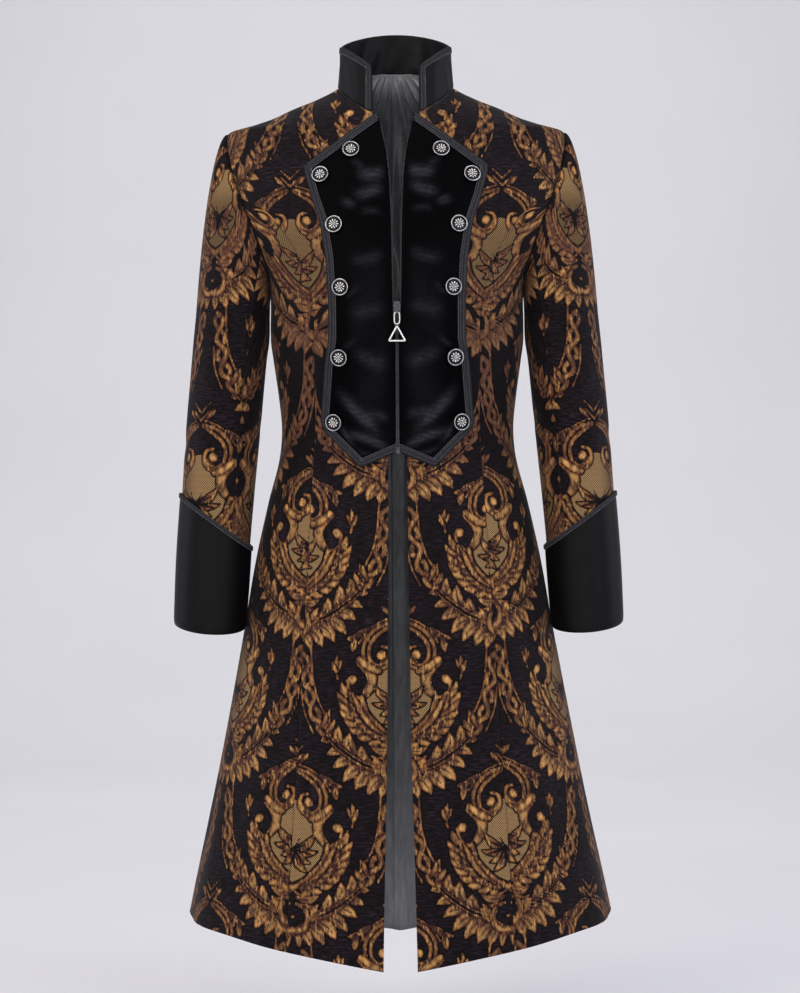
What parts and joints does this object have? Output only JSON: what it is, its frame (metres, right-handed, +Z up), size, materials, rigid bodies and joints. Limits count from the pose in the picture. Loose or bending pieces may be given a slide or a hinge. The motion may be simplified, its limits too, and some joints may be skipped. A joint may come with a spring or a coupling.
{
  "type": "tailcoat",
  "caption": "Full-skirted knee-length brocade tailcoat, worn shape, with velvet plastron, stand collar and deep cuffs, zip front and domed buttons.",
  "frame": {"origin": "midway between the two side-neck points, on the line of the shoulder seams, where the wearer's shoulders carry the coat", "axes": "+Z up, front of the coat faces -Y, +X to the right in the front view"},
  "size_m": [0.593, 0.3645, 1.2278],
  "materials": {
    "brocade": "woven gold figure on black ground",
    "velvet": "black velvet pile",
    "satin": "black satin lining",
    "braid": "flat woven braid, dark grey",
    "tape": "woven zip tape, black",
    "metal": "bright silver-coloured metal"
  },
  "bodies": {
    "coat": {"front_left": "brocade", "front_right": "brocade", "side_front_left": "brocade", "side_front_right": "brocade", "side_back_left": "brocade", "side_back_right": "brocade", "back_left": "brocade", "back_right": "brocade", "top_sleeve_left": "brocade", "top_sleeve_right": "brocade", "under_sleeve_left": "brocade", "under_sleeve_right": "brocade", "back_lining_left": "satin", "back_lining_right": "satin", "plastron_left": "velvet", "plastron_right": "velvet", "cuff_left": "velvet", "cuff_right": "velvet", "collar": "velvet", "plastron_braid_left": "braid", "plastron_braid_right": "braid", "collar_braid_left": "braid", "collar_braid_right": "braid", "cuff_braid_left": "braid", "cuff_braid_right": "braid", "zip_tape_left": "tape", "zip_tape_right": "tape", "button_left_1": "metal", "button_left_2": "metal", "button_left_3": "metal", "button_left_4": "metal", "button_left_5": "metal", "button_left_6": "metal", "button_right_1": "metal", "button_right_2": "metal", "button_right_3": "metal", "button_right_4": "metal", "button_right_5": "metal", "button_right_6": "metal", "zip_slider": "metal", "zip_box": "metal"},
    "pull": {"zip_pull": "metal"}
  },
  "joints": [
    {"name": "zip_pull_hinge", "type": "hinge", "parent": "coat", "child": "pull", "pos_m": [0, -0.14025, -0.30728], "axis": [-1, 0, 0], "range_deg": [0, 160]}
  ]
}
